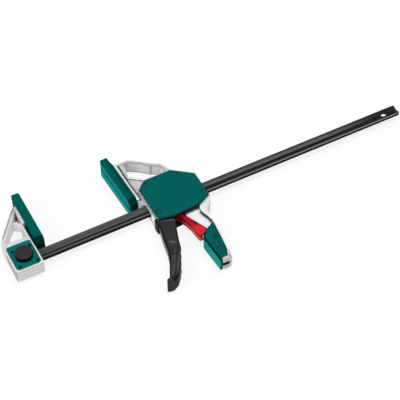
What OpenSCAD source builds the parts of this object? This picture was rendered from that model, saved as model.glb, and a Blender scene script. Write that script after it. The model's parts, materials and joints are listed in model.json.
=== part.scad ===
// Quick release bar clamp: one-handed, with a pistol grip, a pumping trigger and a release lever.
// X runs along the bar away from the fixed jaw, Y points out of the jaws, Z points out of the front
// cover. The origin is the centre of the fixed clamping face, on the clamp's middle plane.

/* [Bar] */
// Height of the I-section bar
bar_h = 18; // [17:0.5:18.5]
// Thickness of the bar
bar_t = 6; // [5:0.5:6.5]
// Height of each flange of the bar
bar_flange = 4.5; // [3.5:0.1:5.5]
// Depth of the groove in each side of the bar
groove_depth = 1.4; // [0.6:0.1:1.8]
// Distance from the fixed clamping face to the tail of the bar
bar_reach = 608; // [520:1:900]
// Distance from the tail to the middle of the tail hole
tail_hole_in = 24; // [16:1:30]
// Distance from the tail to the stop pin
stop_pin_in = 42; // [38:1:60]
// Diameter of the stop pin
stop_pin_d = 4; // [3:0.5:5]
// How far the stop pin stands out of each side of the bar
stop_pin_proud = 3; // [2:0.5:4]

/* [Pads] */
// Length of each jaw pad
pad_len = 99; // [94:1:106]
// Width of each jaw pad
pad_w = 34.4; // [31:0.2:36]
// Thickness of each jaw pad
pad_t = 14; // [12:0.5:16]
// Thickness of a pad's tip above its shoulder
pad_tip_t = 12.6; // [11:0.2:14]
// Height of the pads' lower ends above the bar's middle
pad_low = 14; // [12:0.5:18]
// Width of the bevel along a clamping face
pad_bevel = 1.4; // [0.6:0.2:3]
// Depth of the bevel along a clamping face
pad_bevel_deep = 1; // [0.6:0.2:3]
// Cut across the two lower corners of a pad
pad_corner = 8; // [4:0.5:14]
// Plain land in the middle of the groove along a clamping face
pad_land = 12; // [6:1:30]
// Diameter of the pegs that hold a pad on its jaw
peg_d = 6; // [4:0.5:7]

/* [Fixed jaw] */
// Length of the jaw box along the bar
box_x = 43.7; // [43:0.1:48]
// Reach of the jaw box below the bar's middle
box_low = 23.5; // [22.5:0.5:28]
// Reach of the jaw box above the bar's middle
box_high = 33; // [31:0.5:36]
// Thickness of the jaw box
box_t = 26; // [25.6:0.2:30]
// Bevel round the back of the jaw box
box_bevel = 3.5; // [1:0.5:5]
// Width of the jaw's outer leg seen from the side
leg_w = 6.3; // [4:0.1:7]
// Thickness of the jaw's inner leg
inner_leg_t = 3; // [2.2:0.2:4]
// Thickness of the green front plate
plate_t = 1.8; // [1.4:0.1:2.2]
// Diameter of the release button
button_d = 27; // [26:0.5:30]
// How far the button stands out of the plate
button_proud = 7.7; // [6:0.1:10]
// Travel of the button
button_travel = 3; // [2:0.1:3.1]
// Diameter of the holes in the bar
bar_hole_d = 8.8; // [7:0.2:9.4]

/* [Head] */
// Distance from the fixed clamping face to the moving one
opening = 137.2; // [60:0.1:360]
// Lean of the moving jaw towards the fixed one
toe_in = 2.5; // [1.5:0.25:3]
// Thickness of the head casting
head_t = 24; // [23.6:0.2:27]
// Thickness of the handle's web
web_t = 6; // [4:0.5:6.2]
// Thickness of the wall round the mechanism
wall_t = 4; // [3:0.25:4.5]
// Thickness of each side cover
cover_t = 6; // [5:0.25:8]
// Thickness of a cover's skin
cover_skin = 2.6; // [2.2:0.1:3]
// Diameter of the cover and grip screws
screw_d = 4; // [3:0.25:4.25]
// Diameter of those screws' heads
screw_head_d = 6.8; // [6.2:0.2:7.4]

/* [Handle] */
// Thickness of the green grip, both halves together
grip_t = 28; // [24:0.5:32]
// Bevel along the grip's side edges
grip_bevel = 2.6; // [0.6:0.1:3]
// Width of the trigger
trigger_w = 20.6; // [20:0.2:22]
// Thickness of the trigger's side walls
trigger_wall = 2.2; // [1.4:0.1:2.4]
// Bevel along the trigger's front edges
trigger_bevel = 2.6; // [1:0.2:3]
// Number of finger ridges on each side of the trigger
finger_ridges = 7; // [3:1:9]
// Diameter of the trigger's pin
trigger_pin_d = 6; // [4:0.5:7]
// Width of the release lever
lever_w = 15; // [12:0.5:15.4]

/* [Mechanism] */
// Thickness of one drive plate
drive_plate_t = 4; // [3:0.25:4]
// Thickness of the brake plate
brake_plate_t = 3.5; // [2.5:0.25:3.75]
// Lean of the brake plate at rest
brake_lean = 7.5; // [5:0.5:8]
// Outer diameter of the drive spring
drive_spring_d = 23.5; // [23.2:0.1:24]
// Wire of the drive spring
drive_wire = 1.7; // [1.2:0.1:1.8]
// Wire of the brake spring
brake_wire = 1.2; // [0.8:0.1:1.4]
// Diameter of the brake's and the lever's pins
small_pin_d = 4; // [3:0.5:4.5]

/* [Fits] */
// Gap between the bar and what slides on it
slide_gap = 0.3; // [0.15:0.05:0.4]
// Gap round a pin in its bore
pin_gap = 0.05; // [0.02:0.01:0.08]
// Gap round parts that are set in a seat
seat_gap = 0.2; // [0.1:0.05:0.3]

/* [Hidden] */
$fn = 48;

jaw_green = [0.02, 0.42, 0.39];
cast_silver = [0.82, 0.83, 0.84];
bar_black = [0.13, 0.13, 0.14];
plastic_black = [0.17, 0.17, 0.18];
lever_red = [0.78, 0.07, 0.12];
steel = [0.6, 0.61, 0.63];

// Most sizes are taken from the bar's middle line, which lies this far under the origin.
bar_y = -(pad_low + pad_len / 2);
eps = 0.01;

module from_bar() {
    translate([0, bar_y, 0]) children();
}

// The head's sizes are taken from the bar's middle line under the moving clamping face.
module from_head() {
    translate([opening, bar_y, 0]) children();
}

// A slab with its thickness centred on the middle plane.
module slab(thick) {
    linear_extrude(thick, center = true) children();
}

// A slab between two heights.
module layer(low, high) {
    translate([0, 0, low]) linear_extrude(high - low) children();
}

// The band that lies just inside an outline's edge.
module band(width) {
    difference() {
        children();
        offset(delta = -width) children();
    }
}

// Rounds the outer corners of an outline.
module soften(radius) {
    offset(r = radius, $fn = 24) offset(delta = -radius) children();
}

module both_sides() {
    children();
    mirror([0, 0, 1]) children();
}

// A helical spring that stands on the middle of its first turn, along Z.
module coil(outer_d, wire_d, length, turns) {
    around = 12;
    sides = 6;
    rings = around * turns;
    mean_r = (outer_d - wire_d) / 2;
    rise = (length - wire_d) / rings;
    points = [for (i = [0:rings]) for (j = [0:sides - 1])
        let (turn = 360 * i / around, side = 360 * j / sides, r = mean_r + wire_d / 2 * cos(side))
        [r * cos(turn), r * sin(turn), wire_d / 2 * (1 + sin(side)) + rise * i]];
    skin = [for (i = [0:rings - 1]) for (j = [0:sides - 1]) let (next = (j + 1) % sides)
        [i * sides + j, (i + 1) * sides + j, (i + 1) * sides + next, i * sides + next]];
    ends = [[for (j = [0:sides - 1]) j], [for (j = [sides - 1:-1:0]) rings * sides + j]];
    polyhedron(points, concat(skin, ends), convexity = 8);
}

// A cross-head screw along Z with the seat of its head at the origin.
module pan_screw(d, head_d, head_h, length) {
    difference() {
        union() {
            cylinder(h = head_h, d1 = head_d, d2 = head_d * 0.8);
            translate([0, 0, -length]) cylinder(h = length + eps, d = d);
        }
        for (turn = [0, 90]) rotate(turn) translate([0, 0, head_h])
            cube([head_d * 0.55, head_d * 0.14, head_h], center = true);
    }
}

// ---- Bar ----

bar_back = -(pad_t + box_x - 1.5);
lock_x = -(pad_t + 24.5);
tail_hole_x = bar_reach - tail_hole_in;
stop_x = bar_reach - stop_pin_in;
groove_h = bar_h - 2 * bar_flange;

module bar_section() {
    difference() {
        square([bar_h, bar_t], center = true);
        for (side = [-1, 1]) scale([1, side]) polygon([
            [-groove_h / 2, bar_t / 2 + eps],
            [groove_depth - groove_h / 2, bar_t / 2 - groove_depth],
            [groove_h / 2 - groove_depth, bar_t / 2 - groove_depth],
            [groove_h / 2, bar_t / 2 + eps]]);
    }
}

module bar() {
    color(bar_black) from_bar() difference() {
        translate([bar_back, 0, 0]) rotate([90, 0, 90]) linear_extrude(bar_reach - bar_back) bar_section();
        for (x = [lock_x, tail_hole_x]) translate([x, 0, 0])
            cylinder(h = bar_t * 2, d = bar_hole_d, center = true);
        translate([stop_x, 0, 0]) cylinder(h = bar_t * 2, d = stop_pin_d, center = true);
    }
}

module stop_pin() {
    color(steel) from_bar() translate([stop_x, 0, 0]) difference() {
        cylinder(h = bar_t + 2 * stop_pin_proud, d = stop_pin_d, center = true);
        cylinder(h = bar_t * 4, d = stop_pin_d / 2, center = true);
    }
}

// ---- Pads ----

peg_len = 4;
shoulder_y = pad_len - 17;

// Side view of a pad with its clamping face on the Y axis and its body towards -X.
module pad_profile() {
    polygon([
        [-pad_bevel_deep, 0], [0, 2.5], [0, pad_len - 2.5], [-pad_bevel_deep, pad_len],
        [-pad_tip_t, pad_len], [-pad_tip_t, shoulder_y + 8], [-pad_t, shoulder_y], [-pad_t, 0]]);
}

// End view of a pad, with the bevels along its clamping face.
module pad_section() {
    polygon([
        [0, pad_w / 2 - pad_bevel], [-pad_bevel_deep, pad_w / 2], [-pad_t, pad_w / 2],
        [-pad_t, -pad_w / 2], [-pad_bevel_deep, -pad_w / 2], [0, pad_bevel - pad_w / 2]]);
}

module peg_places() {
    for (y = [pad_len * 0.2, pad_len * 0.68]) translate([-pad_t, y, 0]) rotate([0, -90, 0]) children();
}

module pad() {
    difference() {
        intersection() {
            slab(pad_w) pad_profile();
            rotate([-90, 0, 0]) linear_extrude(pad_len) pad_section();
        }
        // Cuts across the lower corners
        both_sides() translate([0, 0, pad_w / 2]) rotate([45, 0, 0])
            cube([pad_t * 3, pad_corner * sqrt(2), pad_corner * sqrt(2)], center = true);
        // Groove along the middle of the clamping face, above and below a plain land
        for (side = [-1, 1]) translate([0, pad_len / 2 + side * (pad_len / 2 + pad_land / 2), 0])
            rotate([0, 45, 0]) cube([1.1, pad_len, 1.1], center = true);
    }
    peg_places() translate([0, 0, -eps]) cylinder(h = peg_len, d = peg_d);
}

module peg_holes() {
    peg_places() translate([0, 0, -1]) cylinder(h = peg_len + 1 + seat_gap, d = peg_d + 2 * pin_gap);
}

module fixed_pad() {
    color(jaw_green) from_bar() translate([0, pad_low, 0]) pad();
}

// Leans what is drawn against the moving clamping face about the middle of that face.
module leaned() {
    translate([0, pad_low + pad_len / 2, 0]) rotate(toe_in) translate([0, -pad_len / 2, 0])
        mirror([1, 0, 0]) children();
}

module moving_pad() {
    color(jaw_green) from_head() leaned() pad();
}

// ---- Fixed jaw ----

jaw_back = -pad_t;
box_right = jaw_back - 3.3;
box_left = box_right - box_x;
box_front = box_t / 2;
rim_w = 2.5;
flange_t = 4.2;
flange_w = 28;
flange_back = jaw_back - flange_t;
flange_low = 57;
flange_high = 92;
spine_w = 12;
jaw_t = 24;
strut_t = 16;
button_x = lock_x;
button_y = 1.8;
plate_low = box_front - plate_t;
plate_bottom = rim_w - box_low;
plate_top = 26;
button_rest = plate_low + 1.5;
button_top = box_front + button_proud;
well_floor = button_rest - button_travel - 0.3;
stem_d = 7;
stem_top = button_top - 3;
yoke_t = 1.4;
yoke_w = 9;
yoke_top = well_floor - 1.8;
yoke_bridge = -bar_t / 2 - 2.2;
leg_y = bar_h / 2 + 0.8;
leg_t = 3;
lock_pin_top = button_travel - bar_t / 2 - 0.1;
pocket_low = yoke_bridge - 2 - button_travel - 0.6;
plate_screw_d = 2.6;

// The two legs, which meet at the tip behind the pad.
module legs_outline() {
    polygon([
        [box_left, box_high - 8], [box_left, box_high + 2], [box_left + 2.5, 42], [box_left + 3.9, 44.2],
        [box_left + 31.9, 81.8], [jaw_back - 4.6, 94], [flange_back + 0.5, 94.6],
        [flange_back + 0.5, box_high - 8]]);
}

module legs_window() {
    polygon([
        [box_left + 1.5 + leg_w / 2, box_high], [box_left + leg_w + 2.65, 40.4],
        [box_left + leg_w + 30.7, 78], [flange_back, 85.8], [flange_back, flange_low + 2.5],
        [flange_back - inner_leg_t, flange_low - 0.5], [flange_back - inner_leg_t, box_high]]);
}

// The cross strut between the legs.
module strut_outline() {
    polygon([
        [box_left + 26, 76], [flange_back + 0.5, 63.3], [flange_back + 0.5, 58], [box_left + 26, 70.7]]);
}

// The box, with the edges round its back bevelled.
module jaw_box() {
    hull() {
        layer(box_bevel - box_front, box_front) box_outline();
        layer(-box_front, eps - box_front) offset(delta = -box_bevel) box_outline();
    }
}

module box_outline() {
    soften(3.5) translate([box_left, -box_low]) square([box_x, box_low + box_high]);
}

module yoke_room() {
    half = leg_y + leg_t + 0.4;
    translate([lock_x - yoke_w / 2 - 0.6, -half]) square([yoke_w + 1.2, 2 * half]);
}

module plate_outline(inside) {
    width = box_x - 2 * rim_w - 2 * inside;
    height = plate_top - plate_bottom - 2 * inside;
    translate([box_left + rim_w + inside, plate_bottom + inside]) soften(5 - inside) square([width, height]);
}

// The four screws of the front plate.
module plate_screw_places() {
    for (x = [box_left + 9.2, box_right - 6.6]) for (y = [plate_bottom + 6, plate_top - 10.4])
        translate([x, y, plate_low]) children();
}

module fixed_jaw() {
    color(cast_silver) from_bar() difference() {
        union() {
            jaw_box();
            slab(jaw_t) difference() {
                legs_outline();
                legs_window();
            }
            slab(strut_t) strut_outline();
            // Flange behind the pad's upper half, and the narrow spine under it
            slab(flange_w) translate([flange_back, flange_low]) square([flange_t, flange_high - flange_low]);
            slab(spine_w) translate([flange_back, pad_low + 2]) square([flange_t, flange_high - pad_low - 2]);
        }
        // Slot for the bar, open towards the head
        translate([bar_back, -bar_h / 2 - seat_gap / 2, -bar_t / 2 - seat_gap / 2])
            cube([box_x * 2, bar_h + seat_gap, bar_t + seat_gap]);
        // Seat of the front plate
        layer(plate_low, box_front + 1) plate_outline(0);
        // Well of the button, bore of its stem and room for the yoke
        translate([button_x, button_y, well_floor]) cylinder(h = box_t, d = button_d + 1);
        translate([button_x, button_y, 0]) cylinder(h = box_t, d = stem_d + 2 * pin_gap);
        layer(pocket_low, yoke_top + 0.3) yoke_room();
        plate_screw_places() translate([0, 0, -4.4]) cylinder(h = 9, d = plate_screw_d + 2 * pin_gap);
        translate([0, pad_low, 0]) peg_holes();
    }
}

module fixed_jaw_plate() {
    color(jaw_green) from_bar() difference() {
        layer(plate_low, box_front) plate_outline(seat_gap);
        translate([button_x, button_y, 0]) cylinder(h = box_t, d = button_d + 1);
        plate_screw_places() cylinder(h = 9, d = plate_screw_d + 0.4);
        plate_screw_places() translate([0, 0, plate_t - 0.9]) cylinder(h = 9, d = 5.4);
    }
}

module plate_screws() {
    color(steel) from_bar() plate_screw_places() translate([0, 0, plate_t - 0.9])
        pan_screw(plate_screw_d, 5, 1.3, 4.8);
}

module release_button() {
    color(plastic_black) from_bar() translate([button_x, button_y, 0]) difference() {
        rotate_extrude($fn = 72) polygon([
            [0, button_rest], [button_d / 2, button_rest], [button_d / 2, button_top - 1.7],
            [button_d / 2 - 0.5, button_top - 0.5], [button_d / 2 - 1.7, button_top], [0, button_top]]);
        // Room for the spring round the stem's socket
        difference() {
            translate([0, 0, button_rest - 1]) cylinder(h = button_top - 2.3 - button_rest + 1, d = 20);
            cylinder(h = button_top, d = stem_d + 3);
        }
        cylinder(h = stem_top, d = stem_d + 2 * pin_gap);
    }
}

module lock_yoke() {
    color(steel) from_bar() {
        difference() {
            layer(yoke_bridge - 2, yoke_top) translate([lock_x - yoke_w / 2, -leg_y - leg_t])
                square([yoke_w, 2 * (leg_y + leg_t)]);
            layer(yoke_bridge, yoke_top - yoke_t) translate([lock_x - yoke_w, -leg_y])
                square([2 * yoke_w, 2 * leg_y]);
        }
        translate([lock_x, 0, yoke_bridge - eps])
            cylinder(h = lock_pin_top - yoke_bridge, d = bar_hole_d - 2 * pin_gap);
        translate([button_x, button_y, yoke_top - eps]) cylinder(h = stem_top - yoke_top + eps, d = stem_d);
    }
}

module button_spring() {
    color(steel) from_bar() translate([button_x, button_y, well_floor])
        coil(15, 1.2, button_top - 2.3 - well_floor, 5);
}

// ---- Head ----

half_head = head_t / 2;
cover_face = half_head + cover_t;
ring_out = 1;
body_left = 25.3;
body_right = 118.3;
mouth_right = 72;
mouth_top = -26;
pivot_x = 46.8;
pivot_y = 17;
brake_x = 96.8;
brake_y = 14;
lever_pin_x = 76.8;
lever_pin_y = -77;
guide_h = 22.6;
guide_w = 11;
jaw_wall_t = 22;
block_t = 20;
foot_low = -142.6;
socket_x = 83.4;
socket_w = 10.5;
socket_h = 6.5;
socket_deep = 3.2;

// The eight-sided outline of the covers.
module cover_outline() {
    polygon([
        [body_left + ring_out, 32.6], [42.1, 46.1], [87.1, 46.1], [body_right - ring_out, 22.7],
        [body_right - ring_out, -24], [95, -35.5], [51.5, -37.6], [28.3, -33], [body_left + ring_out, -28]]);
}

// The casting stands a little proud of the covers all round.
module body_outline() {
    offset(delta = ring_out) cover_outline();
}

module body_pocket() {
    offset(delta = -wall_t) body_outline();
}

// The A-shaped jaw between the flange and the body.
module jaw_outline() {
    polygon([
        [14.6, 98.2], [38.1, 98.5], [46, 93.6], [62.7, 79.8], [80.6, 68.2], [82.8, 64], [86.2, 57],
        [88.4, 50], [88.4, 42], [60, 38], [28, 30], [26.5, 9.8], [19.5, 9.8], [19.5, 17], [18.3, 24]]);
}

module jaw_window() {
    soften(2) polygon([
        [28.3, 82.5], [28.8, 94], [36.8, 94.4], [50.4, 86], [60.6, 76.4], [63, 71.6], [68, 71.6],
        [78, 63.2], [82.2, 54], [82.8, 50.5], [48.8, 50.5], [44, 52], [25.3, 66.6]]);
}

// The rib under the window.
module window_rib() {
    polygon([[24, 67.7], [44, 52], [48.8, 50.5], [60, 50.5], [60, 45.5], [46, 45.5], [42, 49.2], [22, 64.8]]);
}

// The web of the handle, from the body down into the grip.
module handle_web() {
    polygon([
        [mouth_right, -35], [mouth_right, -38.8], [69.5, -39], [69.9, -41], [72.1, -48], [74.4, -60],
        [75.4, -70], [74, -77], [75.5, -82.5], [79.5, -86], [81.2, -137], [90, -137], [99.5, -80],
        [100, -52], [112, -30], [108, -26], [95, -34]]);
    translate([lever_pin_x, lever_pin_y]) circle(d = 8);
}

// The strap along the handle's back, with the palm rest behind the covers.
module strap_outline() {
    polygon([
        [110, -14], [117.5, -17], [119.2, -21], [118.6, -26], [114.8, -32], [109.8, -38.5], [103.8, -45.5],
        [101.6, -50], [100.9, -56], [100.8, -64], [100.9, -77], [98.6, -107], [95.6, -128], [93, -139],
        [88.6, -137], [91.6, -128], [94.6, -107], [97.7, -77], [98.2, -66], [96.8, -58], [94, -50],
        [92.6, -44], [94.8, -34], [108, -28]]);
}

// The foot of the handle, which closes the grip.
module foot_outline() {
    polygon([
        [78.2, -138.2], [88.4, -138.2], [91.8, -128], [95.6, -128], [95.6, -136], [94, -140.4],
        [90.6, foot_low], [79.6, foot_low], [78, -141]]);
}

// End view of the foot, rounded towards the palm.
module foot_end() {
    polygon([
        [70, half_head], [87.5, half_head], [92.5, 9.4], [95.6, 4], [95.6, -4], [92.5, -9.4],
        [87.5, -half_head], [70, -half_head]]);
}

module cover_screw_places() {
    for (place = [[37.4, 35.7], [94.8, 32], [33.3, -20.3], [112.2, -16.8]])
        translate([place[0], place[1], 0]) children();
}

module grip_screw_places() {
    for (place = [[88.6, -98.7], [85.5, -121]]) translate([place[0], place[1], 0]) children();
}

module head_frame() {
    color(cast_silver) from_head() difference() {
        union() {
            // Box round the mechanism, with the screw bosses and the wall that the drive spring pushes on
            slab(head_t) {
                difference() {
                    body_outline();
                    body_pocket();
                }
                intersection() {
                    body_outline();
                    translate([85.8, -16]) square([3.5, 60]);
                }
            }
            cover_screw_places() cylinder(h = head_t, d = 9, center = true);
            // Jaw
            slab(block_t) difference() {
                jaw_outline();
                jaw_window();
                body_pocket();
            }
            slab(jaw_wall_t) difference() {
                band(4.2) jaw_outline();
                jaw_window();
                body_pocket();
                translate([0, 0]) square([30, 30]);
            }
            slab(head_t) difference() {
                window_rib();
                body_pocket();
            }
            leaned() slab(flange_w) translate([-pad_t - flange_t, 2]) square([flange_t, 82]);
            // Handle
            slab(web_t) handle_web();
            slab(22.8) difference() {
                strap_outline();
                body_pocket();
            }
            intersection() {
                slab(head_t) foot_outline();
                rotate([90, 0, 0]) linear_extrude(200) foot_end();
            }
        }
        // Windows for the guides
        for (x = [body_left, body_right]) translate([x, 0, 0])
            cube([3 * wall_t, guide_h + 2 * seat_gap, guide_w + 2 * seat_gap], center = true);
        // Way of the bar through the spring's wall
        translate([87, 0, 0]) cube([12, bar_h + 1.2, bar_t + 1.2], center = true);
        // Mouth for the trigger and the release lever
        slab(head_t * 2) polygon([
            [0, mouth_top], [mouth_right, mouth_top], [mouth_right, -38.7],
            [mouth_right - 9, -39.5], [0, -60]]);
        // Parting groove down the front wall and round the jaw's foot
        translate([body_left - 4, 12, -2.5]) cube([5.4, 40, 4.5]);
        // Socket in the end of the foot
        translate([socket_x, foot_low, 0]) cube([socket_w, 2 * socket_deep, socket_h], center = true);
        leaned() peg_holes();
        cover_screw_places() cylinder(h = head_t * 2, d = screw_d + 2 * pin_gap, center = true);
        translate([lever_pin_x, lever_pin_y, 0])
            cylinder(h = head_t, d = small_pin_d + 2 * pin_gap, center = true);
        grip_screw_places() cylinder(h = head_t, d = screw_d + 0.4, center = true);
    }
}

// The front cover; the back one is its mirror image.
module cover() {
    well = cover_face - 2.6;
    pin_depth = cover_face - cover_skin - 1.2;
    difference() {
        union() {
            difference() {
                hull() {
                    layer(half_head, cover_face - 2.4) cover_outline();
                    layer(cover_face - 1, cover_face - 1 + eps) offset(delta = -1.5) cover_outline();
                    layer(cover_face - eps, cover_face) offset(delta = -7) cover_outline();
                }
                layer(half_head - 1, cover_face - cover_skin) offset(delta = -3) cover_outline();
            }
            cover_screw_places() layer(half_head, well) circle(d = screw_head_d + 4);
            layer(half_head, cover_face - 1) intersection() {
                offset(delta = -1) cover_outline();
                union() {
                    translate([pivot_x, pivot_y]) circle(d = trigger_pin_d + 6);
                    translate([brake_x, brake_y]) circle(d = small_pin_d + 5);
                }
            }
        }
        cover_screw_places() cylinder(h = cover_face * 2, d = screw_d + 0.4);
        cover_screw_places() translate([0, 0, well]) cylinder(h = 9, d = screw_head_d + 1.4);
        translate([pivot_x, pivot_y, 0]) cylinder(h = pin_depth, d = trigger_pin_d + 2 * pin_gap);
        translate([brake_x, brake_y, 0]) cylinder(h = pin_depth, d = small_pin_d + 2 * pin_gap);
    }
}

module front_cover() {
    color(jaw_green) from_head() cover();
}

module back_cover() {
    color(jaw_green) from_head() mirror([0, 0, 1]) cover();
}

module cover_screws() {
    color(steel) from_head() both_sides() cover_screw_places()
        translate([0, 0, cover_face - 2.6]) pan_screw(screw_d, screw_head_d, 2, 13);
}

// A guide bush that carries the bar; its collar lies inside the wall.
module guide() {
    difference() {
        union() {
            translate([seat_gap - wall_t, -guide_h / 2, -guide_w / 2]) cube([wall_t, guide_h, guide_w]);
            translate([0, -guide_h / 2 - 0.7, -guide_w / 2 - 2.5]) cube([2, guide_h + 1.4, guide_w + 5]);
        }
        cube([99, bar_h + 2 * slide_gap, bar_t + 2 * slide_gap], center = true);
    }
}

module front_guide() {
    color(plastic_black) from_head() translate([body_left + wall_t, 0, 0]) guide();
}

module rear_guide() {
    color(plastic_black) from_head() translate([body_right - wall_t, 0, 0]) mirror([1, 0, 0]) guide();
}

// ---- Grip ----

module grip_outline() {
    polygon([
        [95.6, -73.5], [81, -80.8], [75.6, -86.4], [70.9, -93.8], [73.8, -142.2], [77.4, -141.8],
        [88, -137.9], [91.2, -128], [94.2, -107], [97.3, -77]]);
}

// The front half of the grip; the back one is its mirror image.
module grip() {
    half = grip_t / 2;
    well = half - 2.6;
    difference() {
        union() {
            difference() {
                hull() {
                    layer(0, half - grip_bevel) grip_outline();
                    layer(half - eps, half) offset(delta = -grip_bevel) grip_outline();
                }
                layer(-1, half - 3) intersection() {
                    offset(delta = -3.5) grip_outline();
                    translate([50, -134]) square([100, 100]);
                }
                // Step round the foot's front
                layer(-1, half + 1) translate([77.8, -180]) square([50, 42]);
            }
            grip_screw_places() layer(web_t / 2, well) circle(d = screw_head_d + 3);
        }
        // Room for the handle's web, strap and foot
        layer(-1, web_t / 2) intersection() {
            offset(delta = seat_gap) handle_web();
            translate([50, -200]) square([100, 200]);
        }
        layer(-1, 11.6) offset(delta = seat_gap) strap_outline();
        layer(-1, half_head + 0.3) offset(delta = seat_gap) foot_outline();
        grip_screw_places() cylinder(h = half * 2, d = screw_d + 0.4);
        grip_screw_places() translate([0, 0, well]) cylinder(h = 9, d = screw_head_d + 1);
    }
}

module front_grip() {
    color(jaw_green) from_head() grip();
}

module back_grip() {
    color(jaw_green) from_head() mirror([0, 0, 1]) grip();
}

module grip_screws() {
    seat = grip_t / 2 - 2.6;
    color(steel) from_head() grip_screw_places() both_sides()
        translate([0, 0, seat]) pan_screw(screw_d, screw_head_d, 2, seat - 0.5);
}

// ---- Trigger ----

half_trigger = trigger_w / 2;
trigger_room = half_trigger - trigger_wall;
nose_x = 50.5;
nose_y = -10;
nose_d = 8;
pivot_boss_d = 12;

// The long front edge of the trigger, from its lug down to its lip.
trigger_front = [[24.6, -40.8], [22, -52], [18.4, -68.4], [15.5, -86], [10, -103], [1, -121], [-5.2, -133.2]];

// Side view of the trigger below the body.
module trigger_outline() {
    polygon(concat([[23, -27], [22.4, -35], [23, -39.4]], trigger_front, [
        [-9.8, -134.4], [-12.8, -140.6], [-10.8, -142.8], [-3, -143.6], [6.2, -139], [15, -129],
        [21.8, -118.5], [25.3, -108.4], [34.2, -93.4], [39, -75.7], [50.8, -42], [51.6, -27]]));
}

// Cuts the bevel along one front edge of the trigger.
module trigger_bevels() {
    for (i = [0:len(trigger_front) - 2]) {
        from = trigger_front[i];
        along = trigger_front[i + 1] - from;
        both_sides() translate([from[0], from[1], half_trigger]) rotate(atan2(along[1], along[0]))
            rotate([45, 0, 0]) translate([norm(along) / 2, 0, 0])
            cube([norm(along) + 0.8, trigger_bevel * sqrt(2), trigger_bevel * sqrt(2)], center = true);
    }
}

// The two cheeks that reach up past the bar to the pivot.
module cheek_outline() {
    polygon([
        [pivot_x - 6, pivot_y], [pivot_x + 6, pivot_y], [nose_x + 3.9, nose_y], [51.9, -18], [51.7, -27.5],
        [38.8, -27.5], [38.8, -20]]);
    translate([pivot_x, pivot_y]) circle(d = pivot_boss_d);
    translate([nose_x, nose_y]) circle(d = nose_d);
}

module upper_cheek_outline() {
    intersection() {
        cheek_outline();
        translate([0, nose_y - 4.5]) square([99, 99]);
    }
}

// The hollow of the trigger, open towards the handle.
module trigger_hollow() {
    polygon([
        [25, -20], [25, -44], [25.6, -52], [22, -68], [19.2, -86], [13.8, -103.5], [7.5, -117], [14, -121.5],
        [60, -121.5], [60, -20]]);
}

module trigger() {
    ridge_gap = 20 / (finger_ridges - 1);
    color(plastic_black) from_head() difference() {
        union() {
            slab(trigger_w) trigger_outline();
            slab(trigger_w) cheek_outline();
        }
        slab(2 * trigger_room) trigger_hollow();
        slab(2 * trigger_room) difference() {
            translate([30, -28]) square([60, 99]);
            upper_cheek_outline();
        }
        slab(bar_t + 3) translate([10, -28]) square([90, 99]);
        translate([pivot_x, pivot_y, 0]) cylinder(h = 99, d = trigger_pin_d + 2 * pin_gap, center = true);
        trigger_bevels();
        // Finger ridges
        both_sides() for (i = [0:finger_ridges - 1])
            translate([29.6 - i * ridge_gap * 0.45, -75 - i * ridge_gap * 0.95, half_trigger])
            rotate(-27) cube([7.4, 1.1, 1.2], center = true);
    }
}

module trigger_pin() {
    color(steel) from_head() translate([pivot_x, pivot_y, 0])
        cylinder(h = 2 * (cover_face - cover_skin - 1.4), d = trigger_pin_d, center = true);
}

// ---- Mechanism ----

drive_x = nose_x + nose_d / 2 + 0.3;
spring_start = drive_x + 2 * drive_plate_t + 0.3 + 0.3;

module drive_plates() {
    color(steel) from_head() for (i = [0, 1]) translate([drive_x + i * (drive_plate_t + 0.3), 0, 0])
    difference() {
        translate([0, -17, -10]) cube([drive_plate_t, 29.5, 20]);
        translate([-1, -bar_h / 2 - slide_gap, -bar_t / 2 - slide_gap])
            cube([drive_plate_t + 2, bar_h + 2 * slide_gap, bar_t + 2 * slide_gap]);
    }
}

module drive_spring() {
    color(steel) from_head() translate([spring_start, 0, 0]) rotate([0, 90, 0])
        coil(drive_spring_d, drive_wire, 85.8 - spring_start, 6);
}

module brake_plate() {
    reach = brake_y / cos(brake_lean);
    hole_h = bar_h + 1;
    color(steel) from_head() translate([brake_x, brake_y, 0]) rotate(-brake_lean) difference() {
        union() {
            slab(16) circle(d = 8.4);
            translate([-brake_plate_t / 2, -40, -8]) cube([brake_plate_t, 40, 16]);
        }
        translate([-9, -reach - hole_h / 2, -bar_t / 2 - slide_gap]) cube([18, hole_h, bar_t + 2 * slide_gap]);
        cylinder(h = 99, d = small_pin_d + 2 * pin_gap, center = true);
    }
}

module brake_pin() {
    color(steel) from_head() translate([brake_x, brake_y, 0])
        cylinder(h = 2 * (cover_face - cover_skin - 1.4), d = small_pin_d, center = true);
}

module brake_spring() {
    start = brake_x + 2.2;
    color(steel) from_head() translate([start, 0, 0]) rotate([0, 90, 0])
        coil(22.4, brake_wire, body_right - wall_t - 2 - start, 3);
}

// ---- Release lever ----

module lever_outline() {
    polygon([
        [60.4, -35], [57.4, -32], [57.4, -22], [58.6, -20.6], [89.7, -20.8], [89.8, -27.6], [70, -28.4],
        [66.6, -34], [66.9, -37.8], [74.4, -54.2], [72.6, -56], [73.8, -61.6], [78.6, -63.4], [84.6, -76.2],
        [83.6, -78.6], [76.6, -82.5], [73, -83.2], [70.6, -81.2], [69.6, -76], [68.4, -60.3], [65.6, -48]]);
}

// The slot in which the lever straddles the handle's web.
module lever_slot() {
    polygon([
        [65.2, -35.6], [66, -40], [68.8, -48], [71.6, -60], [72.4, -76], [75, -90], [99, -90], [99, -35.6]]);
}

module release_lever() {
    color(lever_red) from_head() difference() {
        slab(lever_w) lever_outline();
        slab(web_t + 0.6) lever_slot();
        translate([lever_pin_x, lever_pin_y, 0])
            cylinder(h = 99, d = small_pin_d + 2 * pin_gap, center = true);
    }
}

module lever_pin() {
    color(steel) from_head() translate([lever_pin_x, lever_pin_y, 0])
        cylinder(h = lever_w - 0.4, d = small_pin_d, center = true);
}

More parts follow.
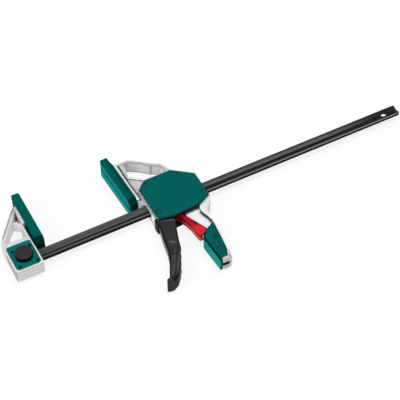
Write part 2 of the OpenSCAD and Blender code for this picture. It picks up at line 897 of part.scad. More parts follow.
bar();
stop_pin();
fixed_jaw();
fixed_jaw_plate();
plate_screws();
fixed_pad();
release_button();
lock_yoke();
button_spring();
head_frame();
front_cover();
back_cover();
cover_screws();
moving_pad();
front_grip();
back_grip();
grip_screws();
front_guide();
rear_guide();
trigger();
trigger_pin();
drive_plates();
drive_spring();
release_lever();
lever_pin();
brake_plate();
brake_pin();
brake_spring();
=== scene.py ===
import json
import math

import bmesh
import bpy
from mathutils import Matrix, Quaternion, Vector


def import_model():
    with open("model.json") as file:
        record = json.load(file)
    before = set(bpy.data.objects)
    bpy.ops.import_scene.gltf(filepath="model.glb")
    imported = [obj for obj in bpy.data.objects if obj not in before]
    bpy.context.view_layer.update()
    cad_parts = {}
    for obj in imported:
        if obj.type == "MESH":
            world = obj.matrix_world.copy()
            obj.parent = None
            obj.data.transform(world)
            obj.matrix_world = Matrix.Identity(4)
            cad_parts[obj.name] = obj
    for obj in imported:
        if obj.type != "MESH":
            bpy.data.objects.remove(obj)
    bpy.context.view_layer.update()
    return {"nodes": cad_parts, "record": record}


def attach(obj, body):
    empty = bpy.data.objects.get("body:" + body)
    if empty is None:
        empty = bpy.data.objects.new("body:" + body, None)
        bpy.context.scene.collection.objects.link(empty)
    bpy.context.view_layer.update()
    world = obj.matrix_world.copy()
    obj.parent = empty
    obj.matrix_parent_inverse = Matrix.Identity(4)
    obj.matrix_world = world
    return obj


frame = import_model()
NODES = frame["nodes"]
SLOT_OF = {s["node"]: s["material_slot"] for s in frame["record"]["subparts"]}

# Positions on the clamp are millimetres of its drawing: y = 0 is the bar's axis and z = 0 the mid-plane.
# The bar's x starts at the fixed clamping face, and the head's x at the moving one.
PER_METRE = 1000
BAR_AXIS_Y = 63.5
HEAD_X = 137.2

# Rounding shown by the shading alone, in metres
EDGE_RADIUS = 0.0006
SMALL_EDGE_RADIUS = 0.0002

# A low index of refraction keeps the haze off faces seen at a grazing angle
METAL_IOR = 1.45
PAINT_IOR = 1.2
GRIP_IOR = 1.06
PAD_IOR = 1.04
PAINT_GLOSS = 0.12

# Widths over which masks fade: in millimetres, and in the cosine of a face's direction
FADE = 0.4
FACE_FADE = 0.08
WALL_FADE = 0.06

# How squarely a face looks along the clamp's thickness: a wall at most, and a flat face at least (cosine)
WALL_MOST = 0.3
FLAT_LEAST = 0.7

# Sockets of the Mix node that carry colours
MIX_A, MIX_B, MIX_RESULT = 6, 7, 2


# ---------------------------------------------------------------- material kit

class Mat:
    """A Principled material with helpers for procedural colour, roughness and bump.

    Masks go from 0 to 1. Positions are the drawing's millimetres."""

    def __init__(self, name, head=True, rounding=EDGE_RADIUS, ior=PAINT_IOR, gloss=PAINT_GLOSS, **sockets):
        self.mat = bpy.data.materials.new(name)
        self.mat.use_nodes = True
        self.tree = self.mat.node_tree
        self.bsdf = self.tree.nodes["Principled BSDF"]
        for key, value in sockets.items():
            self.bsdf.inputs[key.replace("_", " ")].default_value = value
        self.bsdf.inputs["IOR"].default_value = ior
        self.bsdf.inputs["Specular IOR Level"].default_value = gloss
        source = self.node("ShaderNodeTexCoord")
        self.coord = source.outputs["Object"]
        facing = self.node("ShaderNodeSeparateXYZ")
        self.link(source.outputs["Normal"], facing.inputs[0])
        self.facing = dict(zip("XYZ", facing.outputs))
        self.drawing = self.node("ShaderNodeMapping")
        self.drawing.inputs["Scale"].default_value = (PER_METRE, PER_METRE, PER_METRE)
        self.drawing.inputs["Location"].default_value = (-HEAD_X if head else 0, BAR_AXIS_Y, 0)
        self.link(self.coord, self.drawing.inputs["Vector"])
        at = self.node("ShaderNodeSeparateXYZ")
        self.link(self.drawing.outputs["Vector"], at.inputs[0])
        self.at = dict(zip("XYZ", at.outputs))
        rounded = self.node("ShaderNodeBevel", samples=4)
        rounded.inputs["Radius"].default_value = rounding
        self.normal = rounded.outputs["Normal"]
        self.link(self.normal, self.bsdf.inputs["Normal"])

    def node(self, kind, **props):
        n = self.tree.nodes.new(kind)
        for key, value in props.items():
            setattr(n, key, value)
        return n

    def link(self, a, b):
        self.tree.links.new(a, b)

    # values

    def math(self, op, a, b=0.0):
        n = self.node("ShaderNodeMath", operation=op)
        for i, v in enumerate((a, b)):
            if isinstance(v, (int, float)):
                n.inputs[i].default_value = v
            else:
                self.link(v, n.inputs[i])
        return n.outputs[0]

    def remap(self, fac, lo, hi, a=0.0, b=1.0):
        """Turns the range a to b into lo to hi, and holds it there."""
        n = self.node("ShaderNodeMapRange")
        for socket, v in (("From Min", a), ("From Max", b), ("To Min", lo), ("To Max", hi)):
            n.inputs[socket].default_value = v
        self.link(fac, n.inputs["Value"])
        return n.outputs["Result"]

    def noise(self, scale, detail=3.0, rough=0.5, stretch=None):
        n = self.node("ShaderNodeTexNoise")
        n.inputs["Scale"].default_value = scale
        n.inputs["Detail"].default_value = detail
        n.inputs["Roughness"].default_value = rough
        source = self.coord
        if stretch:
            m = self.node("ShaderNodeMapping")
            m.inputs["Scale"].default_value = stretch
            self.link(self.coord, m.inputs["Vector"])
            source = m.outputs["Vector"]
        self.link(source, n.inputs["Vector"])
        return n.outputs["Fac"]

    def voronoi(self, scale):
        n = self.node("ShaderNodeTexVoronoi")
        n.inputs["Scale"].default_value = scale
        self.link(self.coord, n.inputs["Vector"])
        return n.outputs["Distance"]

    def flatness(self):
        """1 on faces that look along the clamp's thickness, to either side, and 0 on its walls."""
        return self.math("ABSOLUTE", self.facing["Z"])

    # masks

    def above(self, value, at, soft):
        """0 below a value and 1 above it."""
        return self.remap(value, 0.0, 1.0, at - soft, at + soft)

    def below(self, value, at, soft):
        """1 below a value and 0 above it."""
        return self.remap(value, 1.0, 0.0, at - soft, at + soft)

    def band(self, value, lo, hi, soft):
        """1 between two values."""
        return self.both(self.above(value, lo, soft), self.below(value, hi, soft))

    def both(self, *masks):
        return self.joined("MULTIPLY", masks)

    def either(self, *masks):
        return self.joined("MAXIMUM", masks)

    def joined(self, op, masks):
        out = masks[0]
        for other in masks[1:]:
            out = self.math(op, out, other)
        return out

    def faces(self, axis, sign, at):
        """1 on the faces that look along an axis, more squarely than the cosine given."""
        return self.above(self.math("MULTIPLY", self.facing[axis], sign), at, FACE_FADE)

    def flat(self, at=FLAT_LEAST):
        """1 on the faces that look along the clamp's thickness, to either side."""
        return self.above(self.flatness(), at, FACE_FADE)

    def walls(self):
        """1 on the faces that stand across the clamp's thickness."""
        return self.below(self.flatness(), WALL_MOST, WALL_FADE)

    def front(self, at):
        """1 on the walls that look towards the fixed jaw."""
        return self.both(self.below(self.facing["X"], at, WALL_FADE), self.walls())

    def front_bevel(self):
        """1 on the bevels between those walls and the flat faces."""
        return self.both(self.below(self.facing["X"], -0.2, WALL_FADE), self.band(self.flatness(), 0.35, 0.9, 0.05))

    def where(self, axis, lo, hi, soft=FADE):
        """1 between two positions."""
        return self.band(self.at[axis], lo, hi, soft)

    def off_middle(self, lo, hi, soft=FADE):
        """1 between two distances from the mid-plane."""
        return self.band(self.math("ABSOLUTE", self.at["Z"]), lo, hi, soft)

    def stroke(self, start, end, width, soft=0.25, ends=0.5):
        """1 along a straight line of the side view."""
        dx, dy = end[0] - start[0], end[1] - start[1]
        n = self.node("ShaderNodeMapping", vector_type="TEXTURE")
        n.inputs["Location"].default_value = (*start, 0)
        n.inputs["Rotation"].default_value = (0, 0, math.atan2(dy, dx))
        self.link(self.drawing.outputs["Vector"], n.inputs["Vector"])
        local = self.node("ShaderNodeSeparateXYZ")
        self.link(n.outputs["Vector"], local.inputs[0])
        along = self.band(local.outputs[0], 0.0, math.hypot(dx, dy), ends)
        return self.both(along, self.band(local.outputs[1], -width / 2, width / 2, soft))

    def edges(self, width):
        """1 on convex and concave edges, from the angle between the rounded and the true normal."""
        bevel = self.node("ShaderNodeBevel", samples=6)
        bevel.inputs["Radius"].default_value = width
        geo = self.node("ShaderNodeNewGeometry")
        dot = self.node("ShaderNodeVectorMath", operation="DOT_PRODUCT")
        self.link(bevel.outputs["Normal"], dot.inputs[0])
        self.link(geo.outputs["Normal"], dot.inputs[1])
        return self.remap(dot.outputs["Value"], 0.0, 1.0, 0.99, 0.72)

    def area(self, face=None, flat=None, walls=False, x=None, y=None, z=None, off=None, lines=None):
        """1 where all that is given holds.

        face: axis, sign and cosine of faces(); flat: cosine of flat(); walls: walls alone;
        x, y, z: positions, and off: distances from the mid-plane, each with its own fade if it has one;
        lines: strokes of the side view, any of them."""
        masks = []
        if face:
            masks.append(self.faces(*face))
        if flat:
            masks.append(self.flat(flat))
        if walls:
            masks.append(self.walls())
        masks += [self.where(axis, *span) for axis, span in (("X", x), ("Y", y), ("Z", z)) if span]
        if lines:
            masks.append(self.either(*(self.stroke(*line) for line in lines)))
        if off:
            masks.append(self.off_middle(*off))
        return self.both(*masks)

    # colours

    def across(self, axis, *stops):
        """A grey that follows a position: stops are (millimetres, grey)."""
        lo, hi = stops[0][0], stops[-1][0]
        fac = self.remap(self.at[axis], 0.0, 1.0, lo, hi)
        return self.ramp(fac, *(((at - lo) / (hi - lo), grey(v)) for at, v in stops))

    def ramp(self, fac, *stops):
        n = self.node("ShaderNodeValToRGB")
        while len(n.color_ramp.elements) < len(stops):
            n.color_ramp.elements.new(0.5)
        for e, (pos, col) in zip(n.color_ramp.elements, stops):
            e.position = pos
            e.color = (*col, 1.0)
        self.link(fac, n.inputs["Fac"])
        return n.outputs["Color"]

    def mix(self, fac, a, b):
        n = self.node("ShaderNodeMix", data_type="RGBA")
        if isinstance(fac, (int, float)):
            n.inputs[0].default_value = fac
        else:
            self.link(fac, n.inputs[0])
        for i, v in ((MIX_A, a), (MIX_B, b)):
            if isinstance(v, tuple):
                n.inputs[i].default_value = (*v, 1.0)
            else:
                self.link(v, n.inputs[i])
        return n.outputs[MIX_RESULT]

    def paint(self, col, mask, over, share=1.0):
        """A colour laid over another inside a mask, wholly or in part."""
        if share < 1.0:
            mask = self.math("MULTIPLY", mask, share)
        return self.mix(mask, col, over)

    def patched(self, col, patches):
        """Patches laid over a colour in their order, each as (shade, area, share)."""
        for shade, area, *share in patches:
            if isinstance(shade, float):
                over = grey(shade)
            elif len(shade) == 2:
                dark, light = shade
                over = self.ramp(self.noise(90), (0.36, grey(dark)), (0.62, grey(light)))
            else:
                over = shade
            col = self.paint(col, self.area(**area), over, *share)
        return col

    # outputs

    def color(self, socket):
        self.link(socket, self.bsdf.inputs["Base Color"])

    def rough(self, noise, lo, hi):
        self.link(self.remap(noise, lo, hi, 0.3, 0.7), self.bsdf.inputs["Roughness"])

    def bump(self, height, distance, strength):
        n = self.node("ShaderNodeBump")
        n.inputs["Distance"].default_value = distance
        n.inputs["Strength"].default_value = strength
        self.link(height, n.inputs["Height"])
        self.link(self.normal, n.inputs["Normal"])
        self.normal = n.outputs["Normal"]
        self.link(self.normal, self.bsdf.inputs["Normal"])

    def painted_surface(self, lo, hi, depth=0.00005):
        """Fine grain, with roughness from lo to hi."""
        self.rough(self.noise(1300, 2, 0.6), lo, hi)
        self.bump(self.noise(700, 2, 0.5), depth, 0.8)

    def moulded_surface(self, lo, hi, depth=0.00005):
        """Fine cells, with roughness from lo to hi."""
        self.rough(self.noise(160), lo, hi)
        self.bump(self.voronoi(1100), depth, 0.7)


def scaled(colour, k):
    return tuple(min(1.0, c * k) for c in colour)


def grey(v):
    return (v, v, v * 1.02)


def speckled(m, base, spread=0.1, cloud=26, speck=1300):
    """A base colour with slow clouds and fine specks."""
    clouds = m.noise(cloud, 4, 0.55)
    col = m.ramp(clouds, (0.3, scaled(base, 1 - spread)), (0.7, scaled(base, 1 + spread * 0.5)))
    specks = m.remap(m.noise(speck, 2, 0.6), 0.0, 0.5, 0.4, 0.75)
    return m.mix(specks, col, scaled(base, 1 + spread))


# ---------------------------------------------------------------- colours and patches

ALLOY = grey(0.76)
TEAL = (0.0, 0.092, 0.086)
TEAL_DARK = (0.0, 0.086, 0.079)
# teal for faces painted as lit
TEAL_LIT = (0.0, 0.30, 0.27)
BLACK_MOULDING = (0.026, 0.026, 0.028)
BUTTON_TOP = (0.03, 0.024, 0.026)
RED = (0.46, 0.004, 0.014)
RED_LIT = (0.9, 0.09, 0.1)
RED_TAIL_HIGHLIGHT = (0.75, 0.03, 0.045)
RED_SHADE = (0.1, 0.0, 0.006)
RED_STEP_SHADE = (0.1, 0.0, 0.003)
RED_EDGE_SHADE = (0.06, 0.0, 0.002)

# Patches are (shade, area, share). A shade is a grey, two greys of a mottle or a colour, the area goes to
# Mat.area, and the share is how much of what is below it a patch covers: all of it where none is given.

ARM = dict(walls=True, x=(24, 84), y=(58, 98))
FRONT_WALL = dict(face=("X", -1, 0.8), x=(23, 27.6))
MOUTH = dict(x=(53, 95), lines=[((53, -37.5), (96, -35.4), 3.6)])
STRAP_SHADE_LINES = [((98.6, -66), (98.2, -78), 1.4), ((98.2, -77), (95, -107), 1.4), ((95, -107), (92, -129), 1.4)]
FLANGE_GAP_SHADE = [((21, 95), (20.6, 54), 3.2), ((20.6, 55), (22.2, 26), 3.2), ((22.6, 32), (22, 16), 3)]

HEAD_PATCHES = [
    # inside of the strap, painted near black as shade, and a dark line of painted shade beside the grip
    (0.012, dict(face=("X", -1, 0.35), x=(88, 112), y=(-88, -30))),
    (0.05, dict(lines=STRAP_SHADE_LINES, off=(6, 30))),
    # web of the handle, and the palm rest behind the cover, painted greyer as shade on its rounded form
    (0.84, dict(flat=FLAT_LEAST, x=(60, 100), y=(-90, -34), off=(-1, 6))),
    (0.66, dict(x=(99, 121), y=(-48, -12))),
    # arm of the jaw, with a dark line of painted shade along the edge of its walls, and the jaw's flat faces
    (0.74, ARM),
    (0.24, dict(ARM, off=(9.4, 11.6))),
    ((0.43, 0.53), dict(flat=FLAT_LEAST, x=(19, 90), y=(8, 100), off=(5, 11.6))),
    # painted shade on the lower wall of the rib under the window, and in the gap behind the jaw's flange
    (0.2, dict(face=("Y", -1, 0.5), x=(21, 60), y=(44, 68))),
    (0.05, dict(lines=FLANGE_GAP_SHADE, off=(6, 12.8))),
    # foot of the handle
    (0.5, dict(flat=0.5, y=(-150, -129.5))),
    # front wall of the box, with the joint under the cover, painted dark with the shade in its groove
    (0.95, FRONT_WALL),
    (0.03, dict(FRONT_WALL, y=(-30, 33), off=(9.5, 12.5))),
    # slot in the foot, painted near black inside as shade
    (0.01, dict(x=(77.6, 88.8, 0.1), y=(-144, -139, 0.1), z=(-3.6, 3.9, 0.1))),
    # walls that look towards the handle's end, painted darker in part as shade
    (0.3, dict(face=("Y", -1, 0.9)), 0.45),
    # mouth of the box: painted light near the web and painted shade, near black, under the cover
    (0.84, dict(MOUTH, off=(-1, 7))),
    (0.012, dict(MOUTH, off=(7, 13))),
    # block in front of the box, beside the bar, painted near white as painted light against the shade that falls
    # there
    (0.97, dict(x=(15, 25.2), y=(-2, 17), off=(-1, 9.6))),
]

FIXED_JAW_PATCHES = [
    # flat faces of the two legs, the dark edge of the outer one, and the rim of the box
    ((0.5, 0.62), dict(flat=FLAT_LEAST, y=(18, 100, 1))),
    (0.26, dict(flat=FLAT_LEAST, lines=[((-54.7, 45.3), (-19.1, 91.3), 2)])),
    (0.55, dict(flat=FLAT_LEAST, y=(-50, 17)), 0.6),
    # lit walls of the window, and the shaded tip
    (0.97, dict(face=("Y", -1, 0.4), x=(-60, -17), y=(28, 84))),
    (0.2, dict(x=(-40, -17.6), y=(84, 200, 6)), 0.7),
    # outer side of the box
    (0.33, dict(face=("X", -1, 0.6), y=(-50, 16))),
    # gap behind the pad, painted near black as shade, and the seam round the box
    (0.01, dict(lines=[((-15.7, 56), (-15.5, 12), 4.8)])),
    (0.16, dict(y=(-50, 16), off=(9.75, 10.25, 0.15)), 0.7),
]

COVER_SIDE = dict(face=("X", -1, 0.8), x=(20, 27.6, 0.2))
COVER_PATCHES = [
    # bright line along the side towards the fixed jaw, as the casting's rim, and a dark line under it, painted
    # shade in the joint's groove
    (0.97, dict(COVER_SIDE, off=(14.8, 18.5, 0.2))),
    (0.03, dict(COVER_SIDE, off=(11.5, 14.8, 0.2))),
]

LEVER_SIDE = dict(face=("X", -1, 0.4), walls=True)
LEVER_PATCHES = [
    # painted highlight on the tail, painted light on the side with a dark line of painted shade along a step in it,
    # and painted shade under the cover
    (RED_TAIL_HIGHLIGHT, dict(x=(69, 85, 1.5), y=(-88, -64, 1.5)), 0.6),
    (RED_LIT, dict(LEVER_SIDE, z=(-6, 0.4, 1.5))),
    (RED_STEP_SHADE, dict(LEVER_SIDE, z=(1.2, 4, 0.8))),
    (RED_SHADE, dict(x=(-200, 65, 3), y=(-52, 200, 6)), 0.7),
]

# Lighter and darker lines on the trigger's side, mostly painted highlights on its ridges and painted shade in its
# hollows: start, end, width and grey
TRIGGER_LINES = [
    ((24, -29.5), (50, -41.5), 1.8, 0.09),
    ((48.4, -46), (36.6, -77), 1.8, 0.008),
    ((36.6, -76), (30, -93), 1.8, 0.008),
    ((30, -92), (21.5, -108), 1.8, 0.008),
    ((28.6, -78), (27.8, -83), 8, 0.045),
    ((26, -88), (10, -118), 2.2, 0.06),
    ((22.4, -90), (7, -119), 1.6, 0.012),
    ((30.6, -96), (12, -126), 2.2, 0.07),
    ((10, -118), (-3, -134), 2.4, 0.06),
    ((17.6, -98), (2.5, -124), 2, 0.055),
    ((26.6, -75.8), (30, -77.8), 4.4, 0.17),
    ((14.8, -94.2), (21.9, -98), 2.4, 0.002),
]

# Painted reflections as greys across the bar's groove and lips, in general and near the fixed jaw, and greys along
# its edge's height with a painted highlight at the top
BAR_TOP_REFLECTIONS = [
    (-9, 0.22), (-8, 0.3), (-7.2, 0.1), (-6, 0.02), (-5, 0.006), (-1.2, 0.003), (0.2, 0.03),
    (2.2, 0.19), (4.2, 0.17), (5.6, 0.06), (7, 0.035), (9, 0.07)]
BAR_NEAR_REFLECTIONS = [
    (-9, 0.02), (-8, 0.1), (-6.8, 0.12), (-5, 0.008), (-2.6, 0.003), (-1, 0.06),
    (0, 0.1), (2.5, 0.06), (5, 0.09), (7, 0.08), (9, 0.1)]
BAR_SIDE_HIGHLIGHT = [(-3, 0.003), (1.2, 0.003), (2.4, 0.09), (3, 0.13)]


# ---------------------------------------------------------------- finishes

def alloy(name, head, patches):
    """Pale powder-coated casting, with painted shade on its walls and dark lines of painted shade along its edges.
    """
    m = Mat(name, head=head, ior=METAL_IOR, gloss=0.4, Metallic=0.1, Roughness=0.45)
    col = speckled(m, ALLOY, 0.1, 38, 900)
    # painted shade: walls darker than the flat faces
    col = m.mix(m.remap(m.flatness(), 1.0, 0.0, 0.3, 0.9), col, scaled(ALLOY, 0.8))
    # painted shade: dark lines along the edges
    col = m.paint(col, m.edges(0.0008), grey(0.2), 0.75)
    m.color(m.patched(col, patches))
    m.rough(m.noise(900, 3, 0.6), 0.38, 0.54)
    m.bump(m.noise(1500, 2, 0.5), 0.00005, 0.7)
    m.bump(m.noise(220, 3, 0.5), 0.0001, 0.5)
    return m.mat


def painted_bar():
    """Black rolled bar with faint streaks along it: its groove and lips carry painted reflections, which fade
    towards the tail, and a painted highlight runs along the lower lip's edge at the tail.
    """
    m = Mat("bar_paint", head=False, Roughness=0.32)
    x, y, z = m.at["X"], m.at["Y"], m.at["Z"]
    top = m.mix(m.below(x, 170, 60), m.across("Y", *BAR_TOP_REFLECTIONS), m.across("Y", *BAR_NEAR_REFLECTIONS))
    # the painted reflections fade to near black towards the tail
    dark = m.mix(m.remap(x, 1.0, 0.06, 470, 575), grey(0.01), top)
    streak = m.remap(m.noise(14, 3, 0.5, stretch=(0.25, 3, 3)), 0.0, 0.5, 0.4, 0.75)
    dark = m.mix(streak, dark, grey(0.02))
    side = m.mix(m.below(x, 200, 60), m.across("Z", *BAR_SIDE_HIGHLIGHT), grey(0.002))
    sideways = m.remap(m.math("ABSOLUTE", m.facing["Y"]), 0.0, 1.0, 0.75, 0.9)
    col = m.mix(sideways, dark, side)
    tail = m.remap(x, 0.0, 1.0, 440, 560)
    # painted highlight along the lower lip's edge, towards the tail
    lip = m.both(m.below(y, -8.3, 0.3), m.above(z, 2.2, 0.3))
    col = m.paint(col, m.both(tail, lip), grey(0.36))
    specks = m.remap(m.noise(1300, 2, 0.6), 0.0, 0.4, 0.45, 0.8)
    m.color(m.mix(specks, col, grey(0.02)))
    m.painted_surface(0.26, 0.42, 0.00004)
    return m.mat


def teal_paint(name, base, regions=None):
    m = Mat(name, Roughness=0.36)
    # painted shade: dark lines along the edges
    col = m.paint(speckled(m, base), m.edges(0.0007), scaled(base, 0.45), 0.35)
    m.color(regions(m, col) if regions else col)
    m.painted_surface(0.32, 0.46)
    return m.mat


def cover_regions(m, col):
    """Darker bevel, the lines of its side, and painted shade, near black, on the faces that look towards the handle
    and on the inner faces.
    """
    bevel = m.band(m.flatness(), 0.3, 0.95, 0.02)
    col = m.paint(col, bevel, scaled(TEAL, 0.45), 0.55)
    col = m.patched(col, COVER_PATCHES)
    # painted shade: near black on the faces that look towards the handle and on the inner faces
    low = m.area(face=("Y", -1, 0.6), x=(27, 96), z=(-15.5, 15.5))
    inside = m.below(m.math("MULTIPLY", m.facing["Z"], m.at["Z"]), -3, 1)
    return m.mix(m.either(low, inside), col, grey(0.01))


def clamping_pad(name, head, sign):
    """Moulded pad: its clamping face, which looks to the sign given, is painted brighter as lit and has two soft
    bands of painted sheen; its faces that look towards the handle's end are painted darker as shade.
    """
    m = Mat(name, head=head, ior=PAD_IOR, gloss=0.3, Roughness=0.42)
    side = speckled(m, TEAL_DARK, 0.12)
    z = m.at["Z"]
    # painted sheen: two soft bands across the clamping face
    glow = m.either(m.band(z, -13, -4, 4), m.math("MULTIPLY", m.band(z, 8, 13, 3), 0.6))
    face = m.ramp(glow, (0.0, scaled(TEAL_LIT, 0.62)), (1.0, scaled(TEAL_LIT, 1.25)))
    face = m.mix(m.remap(m.noise(26, 4, 0.55), 0.0, 0.25, 0.4, 0.7), face, TEAL_DARK)
    outward = m.math("MULTIPLY", m.facing["X"], sign)
    bevel = m.both(m.above(outward, 0.3, 0.1), m.below(outward, 0.85, 0.05))
    side = m.paint(side, bevel, scaled(TEAL_DARK, 0.3), 0.75)
    # painted shade on the faces that look towards the handle's end
    side = m.paint(side, m.faces("Y", -1, 0.3), scaled(TEAL_DARK, 0.3))
    if head:
        back = m.both(m.flat(), m.stroke((10.8, 110), (10.8, 2), 6.5, 1.5))
        side = m.paint(side, back, scaled(TEAL_DARK, 0.4), 0.6)
    m.color(m.paint(side, m.faces("X", sign, 0.85), face))
    m.moulded_surface(0.36, 0.5)
    return m.mat


def moulded_grip():
    """Green grip: front painted bright as lit, a dark bevel and a short crease."""
    m = Mat("green_grip", ior=GRIP_IOR, gloss=0.3, Roughness=0.4)
    # painted light: the front in the lit teal
    col = m.paint(speckled(m, TEAL, 0.14), m.front(-0.6), TEAL_LIT)
    col = m.paint(col, m.front_bevel(), scaled(TEAL, 0.22))
    m.color(m.paint(col, m.stroke((82, -101), (92, -106), 0.7), scaled(TEAL, 0.3)))
    m.moulded_surface(0.34, 0.48)
    return m.mat


def black_plastic(name, regions=None):
    m = Mat(name, gloss=0.2, Roughness=0.42)
    col = speckled(m, BLACK_MOULDING, 0.25, 30, 1100)
    m.color(regions(m, col) if regions else col)
    m.moulded_surface(0.36, 0.52, 0.00006)
    return m.mat


def trigger_regions(m, col):
    """Front painted lighter as lit, a black bevel, painted highlights and shade along soft lines of the side, and a
    black lug and lip.
    """
    # painted light: the front lighter
    col = m.paint(col, m.both(m.front(-0.5), m.where("Y", -126, -41)), grey(0.14))
    col = m.paint(col, m.front_bevel(), grey(0.005))
    side = m.flat(0.8)
    for start, end, width, shade in TRIGGER_LINES:
        line = m.stroke(start, end, width, soft=1.1, ends=5)
        col = m.paint(col, m.both(side, line), grey(shade))
    lug = m.area(x=(0, 24.8), y=(-41, -20))
    lip = m.area(x=(-2, 30, 1), y=(-150, -134, 1.5))
    return m.paint(col, m.either(lug, lip), grey(0.004))


def button_regions(m, col):
    """Brown-black top with a black rim, under faint clouds of the base colour."""
    top = m.mix(m.faces("Z", 1, 0.8), grey(0.003), BUTTON_TOP)
    return m.mix(m.remap(m.noise(60, 3), 0.0, 0.3, 0.4, 0.7), top, col)


def lever_paint():
    m = Mat("lever_red", Roughness=0.34)
    col = m.patched(speckled(m, RED), LEVER_PATCHES)
    # painted shade: dark lines along the edges
    m.color(m.paint(col, m.edges(0.0008), RED_EDGE_SHADE, 0.75))
    m.painted_surface(0.28, 0.44)
    return m.mat


def ground_steel(name, rough, along=(1, 1, 1)):
    """Bare steel, with streaks where the scale of one axis is smaller."""
    m = Mat(name, rounding=SMALL_EDGE_RADIUS, ior=METAL_IOR, gloss=0.5, Metallic=1.0, Roughness=rough)
    steel = (0.5, 0.5, 0.51)
    streak = m.noise(900, 3, 0.6, stretch=along)
    m.color(m.ramp(streak, (0.3, scaled(steel, 0.82)), (0.7, steel)))
    m.rough(streak, rough - 0.06, rough + 0.14)
    m.bump(streak, 0.00002, 0.5)
    return m.mat


def screw_finish(name, base, metal=0.6):
    m = Mat(name, rounding=SMALL_EDGE_RADIUS, ior=METAL_IOR, gloss=0.3, Metallic=metal, Roughness=0.4)
    m.color(speckled(m, base, 0.2, 60, 2000))
    m.rough(m.noise(900), 0.32, 0.5)
    m.bump(m.noise(1500, 2, 0.5), 0.00002, 0.6)
    return m.mat


BLACK_PLASTIC = black_plastic("black_plastic")
FINISH = {
    "bar": painted_bar(),
    "fixed_jaw": alloy("cast_fixed_jaw", False, FIXED_JAW_PATCHES),
    "head_frame": alloy("cast_head", True, HEAD_PATCHES),
    "fixed_jaw_plate": teal_paint("green_plate", scaled(TEAL, 1.4)),
    "fixed_pad": clamping_pad("green_fixed_pad", False, 1),
    "moving_pad": clamping_pad("green_moving_pad", True, -1),
    "front_grip": moulded_grip(),
    "release_button": black_plastic("button_plastic", button_regions),
    "trigger": black_plastic("trigger_plastic", trigger_regions),
    "release_lever": lever_paint(),
    "plate_screws": screw_finish("black_screws", (0.004, 0.005, 0.006), 0.2),
    "cover_screws": screw_finish("green_screws", (0.01, 0.085, 0.08), 0.3),
    "grip_screws": screw_finish("dark_screws", (0.02, 0.065, 0.066)),
    "stop_pin": screw_finish("black_pin", (0.02, 0.02, 0.022)),
    "front_cover": teal_paint("green_cover", TEAL, cover_regions),
}
FINISH["lever_pin"] = FINISH["release_lever"]
FINISH["back_grip"] = FINISH["front_grip"]
FINISH["back_cover"] = FINISH["front_cover"]
SLOT_FINISH = {
    "steel_parts": ground_steel("ground_steel", 0.34, (0.2, 1, 1)),
    "spring_wire": ground_steel("spring_wire", 0.28),
    "black_plastic": BLACK_PLASTIC,
}

for name, node in NODES.items():
    node.data.materials.clear()
    node.data.materials.append(FINISH.get(name) or SLOT_FINISH.get(SLOT_OF[name]) or BLACK_PLASTIC)


# ---------------------------------------------------------------- piece of the scene alone

def add(name, data):
    """A new object of the scene with the data given."""
    obj = bpy.data.objects.new(name, data)
    bpy.context.scene.collection.objects.link(obj)
    return obj


def plates(name, outline, layers, finish, body):
    """Flat plates of one outline, in the head's coordinates, between pairs of heights."""
    bm = bmesh.new()
    for heights in layers:
        rings = [[bm.verts.new(((x + HEAD_X) / PER_METRE, (y - BAR_AXIS_Y) / PER_METRE, z / PER_METRE))
                  for x, y in outline] for z in heights]
        bm.faces.new(reversed(rings[0]))
        bm.faces.new(rings[1])
        for i in range(len(outline)):
            j = (i + 1) % len(outline)
            bm.faces.new((rings[0][i], rings[0][j], rings[1][j], rings[1][i]))
    bmesh.ops.recalc_face_normals(bm, faces=bm.faces)
    me = bpy.data.meshes.new(name)
    bm.to_mesh(me)
    bm.free()
    obj = add(name, me)
    me.materials.append(finish)
    soft = obj.modifiers.new("soft_edges", "BEVEL")
    soft.width, soft.segments = 0.0004, 2
    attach(obj, body)


# Thin black plates in the release lever's slot, which show as a black edge along it: a painted shadow, standing for
# the shade that the lever casts on the web
LEVER_SHADE_PLATES = [
    (67.4, -38.6), (70.4, -38.8), (77.4, -54), (81.2, -62.2), (86.6, -74.0), (84.4, -75.4),
    (78, -63), (73.6, -61), (72.6, -56), (74.2, -54.4)]
plates("lever_shade_plates", LEVER_SHADE_PLATES, [(3.0, 6.0), (-6.0, -3.0)], BLACK_PLASTIC, "lever")


# ---------------------------------------------------------------- floor, light, camera

WHITE = (1, 1, 1, 1)
WORLD_LIGHT = 0.45     # what the white world gives to the clamp and the floor; it is seen at 1
FLOOR_GLOW = 0.82      # share of the floor that is seen as plain white; the rest keeps the shadow
FLOOR_Z = -0.0181
FLOOR_HALF = 6.0


def seen(tree):
    """1 for the rays that look at a surface, 0 for those that only light it."""
    path = tree.nodes.new("ShaderNodeLightPath")
    out = path.outputs["Is Camera Ray"]
    for ray in ("Is Glossy Ray", "Is Transmission Ray"):
        either = tree.nodes.new("ShaderNodeMath")
        either.operation = "MAXIMUM"
        tree.links.new(out, either.inputs[0])
        tree.links.new(path.outputs[ray], either.inputs[1])
        out = either.outputs[0]
    return out


def world():
    w = bpy.data.worlds.new("studio")
    bpy.context.scene.world = w
    w.use_nodes = True
    t = w.node_tree
    t.nodes.clear()
    out = t.nodes.new("ShaderNodeOutputWorld")
    mix = t.nodes.new("ShaderNodeMixShader")
    t.links.new(seen(t), mix.inputs[0])
    for i, power in ((1, WORLD_LIGHT), (2, 1.0)):
        back = t.nodes.new("ShaderNodeBackground")
        back.inputs["Color"].default_value = WHITE
        back.inputs["Strength"].default_value = power
        t.links.new(back.outputs[0], mix.inputs[i])
    t.links.new(mix.outputs[0], out.inputs["Surface"])


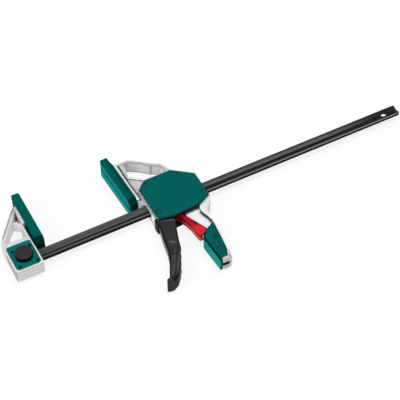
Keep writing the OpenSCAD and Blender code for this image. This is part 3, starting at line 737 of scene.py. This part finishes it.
def floor():
    me = bpy.data.meshes.new("floor")
    corners = [(-1, -1), (1, -1), (1, 1), (-1, 1)]
    me.from_pydata([(x * FLOOR_HALF, y * FLOOR_HALF, FLOOR_Z) for x, y in corners], [], [(0, 1, 2, 3)])
    obj = add("floor", me)
    mat = bpy.data.materials.new("floor")
    mat.use_nodes = True
    t = mat.node_tree
    t.nodes.clear()
    out = t.nodes.new("ShaderNodeOutputMaterial")
    diffuse = t.nodes.new("ShaderNodeBsdfDiffuse")
    diffuse.inputs["Color"].default_value = (0.9, 0.9, 0.9, 1)
    glow = t.nodes.new("ShaderNodeEmission")
    glow.inputs["Color"].default_value = WHITE
    share = t.nodes.new("ShaderNodeMath")
    share.operation = "MULTIPLY"
    share.inputs[1].default_value = FLOOR_GLOW
    t.links.new(seen(t), share.inputs[0])
    mix = t.nodes.new("ShaderNodeMixShader")
    t.links.new(share.outputs[0], mix.inputs[0])
    t.links.new(diffuse.outputs[0], mix.inputs[1])
    t.links.new(glow.outputs[0], mix.inputs[2])
    t.links.new(mix.outputs[0], out.inputs["Surface"])
    me.materials.append(mat)


def area_light(name, loc, target, size, power):
    data = bpy.data.lights.new(name, "AREA")
    data.shape = "RECTANGLE"
    data.size, data.size_y = size
    data.energy = power
    obj = add(name, data)
    obj.location = loc
    obj.rotation_mode = "QUATERNION"
    obj.rotation_quaternion = (Vector(target) - Vector(loc)).to_track_quat("-Z", "Y")


def camera():
    """The photograph's camera, fitted to the outline."""
    data = bpy.data.cameras.new("camera")
    data.sensor_fit = "HORIZONTAL"
    data.sensor_width = 36.0    # millimetres, as the lens
    data.lens = 122.213
    data.clip_start = 0.1
    data.clip_end = 50.0
    obj = add("camera", data)
    obj.location = (-0.359808, -1.255659, 1.594728)
    obj.rotation_mode = "QUATERNION"
    obj.rotation_quaternion = Quaternion((0.91300475, 0.32997184, -0.07723072, -0.2271042))
    bpy.context.scene.camera = obj


world()
floor()
area_light("key", (-1.7, -0.6, 1.3), (0.15, -0.05, 0), (1.3, 1.3), 22)
area_light("top", (0.3, -0.4, 2.0), (0.2, -0.05, 0), (1.4, 1.0), 24)
camera()
bpy.context.scene.view_settings.view_transform = "Standard"
